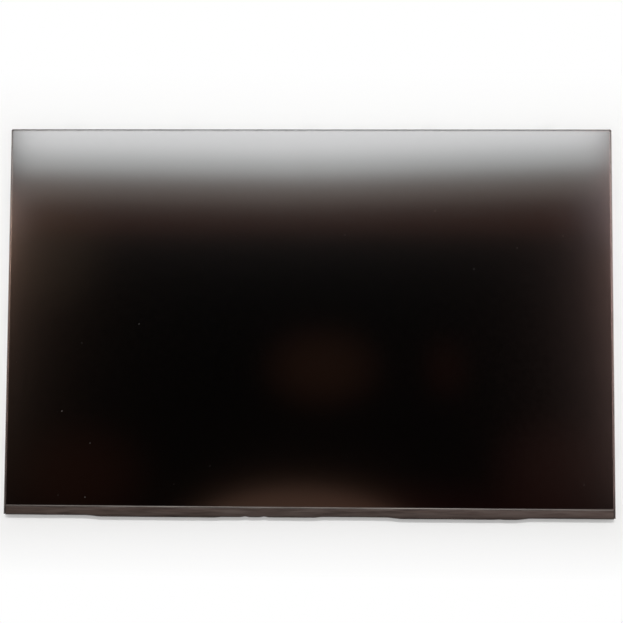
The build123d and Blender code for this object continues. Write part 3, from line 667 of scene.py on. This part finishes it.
def cover_tape_film():
    """Thin brown-black tape with long shallow creases and a slightly polished face, rubbed in patches. Its
    colour has streaky tone and painted shade in the creases' hollows, painted light that pales it towards its
    right half, and painted shade at its left end and where it turns over the edge."""
    finish = Finish("cover_tape_film", (0.045, 0.033, 0.028), 0.5)
    finish.specular(0.3)
    low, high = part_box("cover_tape")
    # Painted shade: darker where the tape turns over the bottom edge and towards its left end
    turn_shade = finish.ranged(finish.along("Y"), (low.y + TURN_SHADE_FROM, low.y + TURN_SHADE_TO), (1.0, 0.0))
    left_end_shade = finish.ranged(finish.along("X"), (low.x, low.x + LEFT_END_SHADE), (0.9, 0.0))
    painted_shade = finish.combined("MAXIMUM", turn_shade, left_end_shade)
    # Painted light: the rubbed, paler colour grows towards the tape's right half
    right_half_light = finish.ranged(finish.along("X"), (0.0, high.x / 2), (0.0, 0.07))
    creases = finish.ranged(finish.grain((70, 1300, 700), detail=4), (0.34, 0.66))
    rubbing_and_light = finish.combined("ADD", finish.grain((38, 420, 260), detail=3), right_half_light)
    # Streaky tone, and painted shade in the creases: darker where the crease bump is low
    dark = finish.blend(creases, (0.017, 0.010, 0.008), (0.050, 0.032, 0.025))
    worn_and_lit = finish.blend(finish.ranged(rubbing_and_light, (0.46, 0.62)), dark, (0.064, 0.047, 0.040))
    # Darker copy of the tape's colour, used where the shade is painted
    shaded_tape_colour = finish.blend(creases, (0.012, 0.007, 0.005), (0.036, 0.023, 0.018))
    finish.colour(finish.blend(painted_shade, worn_and_lit, shaded_tape_colour))
    finish.rough(finish.ranged(creases, (0.0, 1.0), (0.44, 0.58)))
    return finish.bump(creases, 0.02 * MM)


def ground_foil():
    finish = Finish("ground_foil", (0.50, 0.48, 0.44), 0.38, metallic=1.0)
    weave = finish.combined("MULTIPLY", finish.ribs("X", 5000), finish.ribs("Y", 5000))
    crumple = finish.grain(350, detail=4)
    finish.colour(finish.blend(weave, (0.36, 0.345, 0.315), (0.60, 0.58, 0.54)))
    return finish.bump(finish.combined("ADD", weave, crumple), 0.03 * MM)


def socket_resin():
    finish = Finish("socket_resin", (0.64, 0.57, 0.42), 0.45)
    fibres = finish.grain((1500, 6500, 6500), detail=3)
    finish.colour(finish.blend(fibres, (0.57, 0.50, 0.36), (0.70, 0.64, 0.50)))
    return finish.bump(fibres, 0.01 * MM)


def socket_shell():
    finish = Finish("socket_shell", (0.66, 0.64, 0.58), 0.26, metallic=1.0)
    rolling = finish.grain((300, 5000, 5000), detail=3)
    finish.rough(finish.ranged(rolling, NOISE_SPAN, (0.2, 0.36)))
    return finish.bump(rolling, 0.006 * MM)


def contact_metal():
    finish = Finish("contact_metal", (0.80, 0.58, 0.22), 0.24, metallic=1.0)
    return finish.rough(finish.ranged(finish.grain(4000), NOISE_SPAN, (0.18, 0.34)))


def tin_solder():
    finish = Finish("tin_solder", (0.62, 0.62, 0.61), 0.3, metallic=1.0)
    grains = finish.cells(9000)
    finish.rough(finish.ranged(grains, (0.0, 0.8), (0.22, 0.42)))
    return finish.bump(grains, 0.01 * MM)


def chip_epoxy():
    finish = Finish("chip_epoxy", (0.016, 0.016, 0.017), 0.5)
    speckle = finish.grain(9000, detail=4)
    finish.colour(finish.blend(speckle, (0.010, 0.010, 0.011), (0.030, 0.030, 0.031)))
    return finish.bump(speckle, 0.012 * MM)


def moulded_mark():
    finish = Finish("moulded_mark", (0.055, 0.055, 0.058), 0.3)
    return finish.rough(finish.ranged(finish.grain(9000), NOISE_SPAN, (0.24, 0.4)))


def inductor_ferrite():
    finish = Finish("inductor_ferrite", (0.07, 0.07, 0.075), 0.62)
    grains = finish.cells(6500)
    finish.colour(finish.blend(grains, (0.045, 0.045, 0.05), (0.11, 0.11, 0.115)))
    return finish.bump(grains, 0.015 * MM)


def capacitor_ceramic():
    finish = Finish("capacitor_ceramic", (0.22, 0.14, 0.085), 0.48)
    batch = finish.ranged(finish.grain(330, detail=1), (0.35, 0.65))
    finish.colour(finish.blend(batch, (0.16, 0.10, 0.06), (0.32, 0.22, 0.14)))
    return finish.bump(finish.grain(8000), 0.008 * MM)


def resistor_body():
    finish = Finish("resistor_body", (0.014, 0.014, 0.016), 0.28)
    return finish.bump(finish.grain(7000), 0.006 * MM)


def dust():
    finish = Finish("dust", (0.40, 0.38, 0.36), 0.9)
    return finish.bump(finish.grain(9000), 0.02 * MM)


def table_top():
    """Pale and dull near the panel, white away from it, and clear to all but a direct look from above."""
    finish = Finish("table_top", FLOOR_COLOUR, 0.7)
    finish.specular(0.2)
    apart = finish.node("ShaderNodeVectorMath", operation="ABSOLUTE")
    finish.feed(apart, 0, finish.place)
    axes = finish.node("ShaderNodeSeparateXYZ")
    finish.feed(axes, 0, apart.outputs[0])
    beyond_side = finish.combined("SUBTRACT", axes.outputs["X"], cad_box[1].x)
    beyond_edge = finish.combined("SUBTRACT", axes.outputs["Y"], cad_box[1].y)
    away = finish.ranged(finish.combined("MAXIMUM", beyond_side, beyond_edge), (WHITE_FROM, WHITE_TO))
    white = finish.node("ShaderNodeEmission")
    finish.feed(white, "Color", (1, 1, 1, 1))
    finish.feed(white, "Strength", 1.0)
    surface = finish.shaders(away, finish.shader.outputs["BSDF"], white.outputs["Emission"])
    below = finish.node("ShaderNodeNewGeometry").outputs["Backfacing"]
    direct = finish.node("ShaderNodeLightPath").outputs["Is Camera Ray"]
    solid = finish.combined("SUBTRACT", direct, below)
    clear = finish.node("ShaderNodeBsdfTransparent").outputs["BSDF"]
    finish.feed(finish.tree.nodes["Material Output"], "Surface", finish.shaders(solid, clear, surface))
    return finish


SLOT_FINISHES = (
    antiglare_polarizer, dark_polarizer, cell_glass, sealing_resin, black_adhesive, frame_resin, prism_film,
    diffuser_sheet, guide_acrylic, white_reflector, cover_sheet_metal, white_flex, led_package, solder_mask,
    driver_film, driver_silicon, cover_tape_film, ground_foil, socket_resin, socket_shell, contact_metal,
    chip_epoxy, inductor_ferrite, capacitor_ceramic, resistor_body,
)
finishes = {make.__name__: make().material for make in SLOT_FINISHES}


def add_floor():
    """The table top that takes the panel's shadow."""
    mesh = bmesh.new()
    bmesh.ops.create_grid(mesh, x_segments=FLOOR_CELLS, y_segments=FLOOR_CELLS, size=FLOOR_HALF)
    data = bpy.data.meshes.new("floor")
    mesh.to_mesh(data)
    mesh.free()
    data.materials.append(table_top().material)
    floor = bpy.data.objects.new("floor", data)
    floor.location.z = cad_box[0].z - FLOOR_GAP
    bpy.context.scene.collection.objects.link(floor)


def dress_nodes():
    """Gives each node the finish that its material slot names."""
    for part in subparts:
        surface = nodes[part["node"]].data
        surface.materials.clear()
        surface.materials.append(finishes[part["material_slot"]])


def soften_edges():
    for name, width in EDGE_WIDTHS.items():
        bevel = nodes[name].modifiers.new("soft_edges", "BEVEL")
        bevel.width = width * MM
        bevel.segments = EDGE_SEGMENTS
        bevel.limit_method = "ANGLE"
        bevel.angle_limit = math.radians(EDGE_ANGLE)


def add_piece(name, mesh, material):
    """A piece of the scene's own, riding on the panel."""
    data = bpy.data.meshes.new(name)
    mesh.normal_update()
    mesh.to_mesh(data)
    mesh.free()
    data.materials.append(material)
    piece = bpy.data.objects.new(name, data)
    bpy.context.scene.collection.objects.link(piece)
    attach(piece, BODY)
    return piece


def islands(name):
    """The box of each separate solid in a node, from left to right."""
    mesh = bmesh.new()
    mesh.from_mesh(nodes[name].data)
    bmesh.ops.remove_doubles(mesh, verts=mesh.verts, dist=WELD)
    left = set(mesh.verts)
    boxes = []
    while left:
        group = [left.pop()]
        for vert in group:
            for edge in vert.link_edges:
                other = edge.other_vert(vert)
                if other in left:
                    left.discard(other)
                    group.append(other)
        corners = [[pick(vert.co[axis] for vert in group) for axis in range(3)] for pick in (min, max)]
        boxes.append((Vector(corners[0]), Vector(corners[1])))
    mesh.free()
    return sorted(boxes, key=lambda box: [round(place, ORDER_DECIMALS) for place in box[0].xy])


def add_block(mesh, low, high, edge):
    """A rectangular block with rounded edges."""
    middle = (low + high) / 2
    block = bmesh.ops.create_cube(mesh, size=1)["verts"]
    for vert in block:
        vert.co = Vector(vert.co[axis] * (high[axis] - low[axis]) + middle[axis] for axis in range(3))
    sides = {line for vert in block for line in vert.link_edges}
    bmesh.ops.bevel(mesh, geom=list(sides), offset=edge, segments=EDGE_SEGMENTS, profile=ROUND_PROFILE,
                    affect="EDGES")


def add_disc(mesh, centre, radius, height):
    """A low round pad standing out from a level towards the table, a little narrower at its face."""
    made = bmesh.ops.create_cone(mesh, cap_ends=True, segments=DISC_SIDES, radius1=radius * DISC_TAPER,
                                 radius2=radius, depth=height)["verts"]
    bmesh.ops.translate(mesh, verts=made, vec=Vector(centre) - Vector((0, 0, height / 2)))


def eased(value):
    """Rises smoothly from 0 to 1."""
    value = min(max(value, 0.0), 1.0)
    return value * value * (3 - 2 * value)


def swell(x, place, half, fade):
    """One over a length, falling smoothly to nothing beyond both of its ends."""
    return eased((half + fade - abs(x - place)) / fade)


def tape_outline(x):
    """How far down the tape's wall stands at a place along the edge."""
    films = max(swell(x, place, FILM_SWELL, FILM_FADE) for place in (-FILM_PLACE, FILM_PLACE))
    lead = swell(x, LEAD_PLACE, LEAD_SWELL, LEAD_FADE)
    out = max(films * BULGE_REACH, lead * LEAD_REACH)
    for place, width, depth in PINCHES:
        out -= depth * math.exp(-((x - place) / width) ** 2)
    return TAPE_REST - max(out, 0.0)


def wander(x, length, noise_slice):
    return EDGE_WANDER * noise.noise((x / length, noise_slice, 0))


def tape_profile(x):
    """Points and outward normals across the tape, from its front edge round to its back edge."""
    ends = abs(x) > (SLIT_FROM + SLIT_TO) / 2
    low = TAPE_END_LOW if ends else TAPE_LOW
    bend = TAPE_END_BEND if ends else TAPE_BEND
    wall = tape_outline(x)
    wall_top = TAPE_TOP - TAPE_BEND
    front = TAPE_FRONT + min(wander(x, *FRONT_WANDER), 0.0)
    back = (TAPE_END_BACK if ends else TAPE_BACK) + wander(x, *BACK_WANDER)
    flap, upper, side, lower, rest = TAPE_ROWS
    rows = []
    for step in range(flap):
        rows.append((front + (wall + TAPE_BEND - front) * step / flap, TAPE_TOP, 0.0, 1.0))
    for step in range(upper):
        angle = math.pi / 2 * (1 + step / upper)
        across, up = math.cos(angle), math.sin(angle)
        rows.append((wall + TAPE_BEND * (1 + across), wall_top + TAPE_BEND * up, across, up))
    for step in range(side):
        rows.append((wall, wall_top + (low + bend - wall_top) * step / side, -1.0, 0.0))
    for step in range(lower):
        angle = math.pi * (1 + step / lower / 2)
        across, up = math.cos(angle), math.sin(angle)
        rows.append((wall + bend * (1 + across), low + bend * (1 + up), across, up))
    for step in range(rest + 1):
        rows.append((wall + bend + (back - wall - bend) * step / rest, low, 0.0, -1.0))
    return rows


def crease(x, along):
    """Height of the long shallow creases, always outward."""
    height = CREASE_BASE
    for length, width, noise_slice, share in FOLDS:
        height += share * noise.noise((x / length, along / width, noise_slice))
    return CREASE_HEIGHT * max(height, 0.0)


def cover_tape_skin():
    """The creased tape, cut through from its wall to its back at the slits."""
    count = round(2 * TAPE_HALF / TAPE_STEP)
    places = [-TAPE_HALF + 2 * TAPE_HALF * step / count for step in range(count + 1)]
    places += [side * edge for side in (-1, 1) for edge in (SLIT_FROM, SLIT_TO)]
    mesh = bmesh.new()
    columns = []
    for x in sorted(places):
        column = []
        for row, (y, z, across, up) in enumerate(tape_profile(x)):
            height = crease(x, row * CREASE_ROW)
            column.append(mesh.verts.new((x * MM, (y + across * height) * MM, (z + up * height) * MM)))
        columns.append((x, column))
    for (left, first), (right, second) in zip(columns, columns[1:]):
        in_slit = SLIT_FROM < abs(left + right) / 2 < SLIT_TO
        for row in range(TAPE_ROWS[0] if in_slit else len(first) - 1):
            mesh.faces.new((first[row], first[row + 1], second[row + 1], second[row]))
    for face in mesh.faces:
        face.smooth = True
    tape = add_piece("cover_tape_skin", mesh, finishes["cover_tape_film"])
    sheet = tape.modifiers.new("thickness", "SOLIDIFY")
    sheet.thickness = TAPE_THICKNESS * MM
    sheet.offset = -1
    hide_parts("cover_tape")


def add_speck(mesh, place, size, chance):
    """A small flattened lump of dust that rests on the screen."""
    lump = bmesh.ops.create_icosphere(mesh, subdivisions=1, radius=1.0)["verts"]
    turn = Euler((0, 0, chance.uniform(0, math.tau)))
    length = size * chance.uniform(*SPECK_LENGTHS)
    width = size * chance.uniform(*SPECK_WIDTHS)
    reach = Vector((length, width, size * SPECK_HEIGHT)) * MM
    for vert in lump:
        local = Vector(vert.co[axis] * reach[axis] * chance.uniform(*SPECK_DENTS) for axis in range(3))
        local.rotate(turn)
        vert.co = local + place + Vector((0, 0, reach.z * SPECK_SEAT))


def dust_specks():
    chance = random.Random(SEED)
    mesh = bmesh.new()
    for pixel in SPECK_PIXELS:
        add_speck(mesh, photo_point(*pixel, FACE), chance.uniform(*SPECK_SIZES), chance)
    low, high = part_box("front_polarizer")
    for _ in range(FINE_SPECKS):
        place = Vector((chance.uniform(low.x, high.x), chance.uniform(low.y, high.y), FACE))
        add_speck(mesh, place, chance.uniform(*FINE_SIZES), chance)
    add_piece("dust_specks", mesh, dust().material)


def add_fillet(mesh, low, high, axis, end):
    """Solder that climbs from the board to one end of a chip, with a hollow slope."""
    edge = high[axis] if end else low[axis]
    reach = FILLET_REACH * MM * (1 if end else -1)
    rise = (high.z - low.z) * FILLET_RISE
    hollow_reach, hollow_rise = FILLET_HOLLOW
    slope = (
        (edge, high.z - rise),
        (edge + reach * hollow_reach, high.z - rise * hollow_rise),
        (edge + reach, high.z),
        (edge, high.z),
    )
    across = 1 - axis
    ends = []
    for across_place in (low[across], high[across]):
        points = []
        for along, level in slope:
            point = Vector((0, 0, level))
            point[axis] = along
            point[across] = across_place
            points.append(mesh.verts.new(point))
        ends.append(points)
    first, last = ends
    mesh.faces.new(first)
    mesh.faces.new(last[::-1])
    for step in range(len(slope)):
        following = (step + 1) % len(slope)
        mesh.faces.new((first[following], first[step], last[step], last[following]))


def chip_ends(mesh, low, high):
    """Metal caps on both ends of a chip part, with the solder at their feet."""
    axis = 0 if high.x - low.x > high.y - low.y else 1
    skin = CAP_SKIN * MM
    reach = (high[axis] - low[axis]) * CAP_SHARE
    for end in (False, True):
        cap_low = low - Vector((skin, skin, skin))
        cap_high = high + Vector((skin, skin, 0))
        if end:
            cap_low[axis] = high[axis] - reach
        else:
            cap_high[axis] = low[axis] + reach
        add_block(mesh, cap_low, cap_high, CAP_EDGE * MM)
        add_fillet(mesh, low, high, axis, end)


def package_pads(mesh, name, pitch, sides):
    """Soldered pads that show round a flat package."""
    low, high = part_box(name)
    for axis in sides:
        along = 1 - axis
        count = int((high[along] - low[along] - 2 * PAD_MARGIN * MM) / (pitch * MM)) + 1
        middle = (low[along] + high[along]) / 2
        for step in range(count):
            place = middle + (step - (count - 1) / 2) * pitch * MM
            for inner, outer in ((low[axis] + PAD_UNDER * MM, low[axis] - PAD_OUT * MM),
                                 (high[axis] - PAD_UNDER * MM, high[axis] + PAD_OUT * MM)):
                pad_low = Vector((0, 0, BOARD_FACE - PAD_HEIGHT * MM))
                pad_high = Vector((0, 0, BOARD_FACE))
                pad_low[axis], pad_high[axis] = sorted((inner, outer))
                pad_low[along] = place - PAD_WIDTH / 2 * MM
                pad_high[along] = place + PAD_WIDTH / 2 * MM
                add_block(mesh, pad_low, pad_high, PAD_EDGE * MM)


def test_pads(mesh):
    """Bare round pads along the arms of the board, clear of the ground foils."""
    foil_low, foil_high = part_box("ground_foil_right")
    foil_place = (foil_low.x + foil_high.x) / 2 / MM
    line = foil_low.y + TEST_LINE * MM
    count = int((TEST_TO - TEST_FROM) / TEST_PITCH) + 1
    for side in (-1, 1):
        for step in range(count):
            place = TEST_FROM + step * TEST_PITCH
            if abs(place - foil_place) > FOIL_CLEAR:
                add_disc(mesh, (side * place * MM, line, BOARD_FACE), TEST_RADIUS * MM, PAD_HEIGHT * MM)


def board_metal():
    """Metal on the control board, whose parts stand out towards the table."""
    mesh = bmesh.new()
    for name in CHIP_NODES:
        for low, high in islands(name):
            chip_ends(mesh, low, high)
    for name in SQUARE_PACKAGES:
        package_pads(mesh, name, PAD_PITCH, (0, 1))
    package_pads(mesh, MEMORY_PACKAGE, MEMORY_PITCH, (0,))
    test_pads(mesh)
    add_piece("board_metal", mesh, tin_solder().material)


def inductor_cores():
    """The drum core that shows in the middle of each inductor's shield."""
    mesh = bmesh.new()
    for low, high in islands("power_inductors"):
        middle = (low + high) / 2
        radius = (high.x - low.x) / 2 * CORE_SHARE
        add_disc(mesh, (middle.x, middle.y, low.z + CORE_HEIGHT * MM), radius, CORE_HEIGHT * MM)
    add_piece("inductor_cores", mesh, finishes["inductor_ferrite"])


def package_marks():
    """The moulded dot that marks the first pad of each package."""
    mesh = bmesh.new()
    for name in (*SQUARE_PACKAGES, MEMORY_PACKAGE):
        low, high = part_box(name)
        corner = (low.x + MARK_INSET * MM, high.y - MARK_INSET * MM, low.z)
        add_disc(mesh, corner, MARK_RADIUS * MM, MARK_HEIGHT * MM)
    add_piece("package_marks", mesh, moulded_mark().material)


dress_nodes()
soften_edges()
cover_tape_skin()
dust_specks()
board_metal()
inductor_cores()
package_marks()

bpy.context.scene.view_settings.view_transform = "Standard"
add_camera()
add_lights()
add_world()
add_floor()
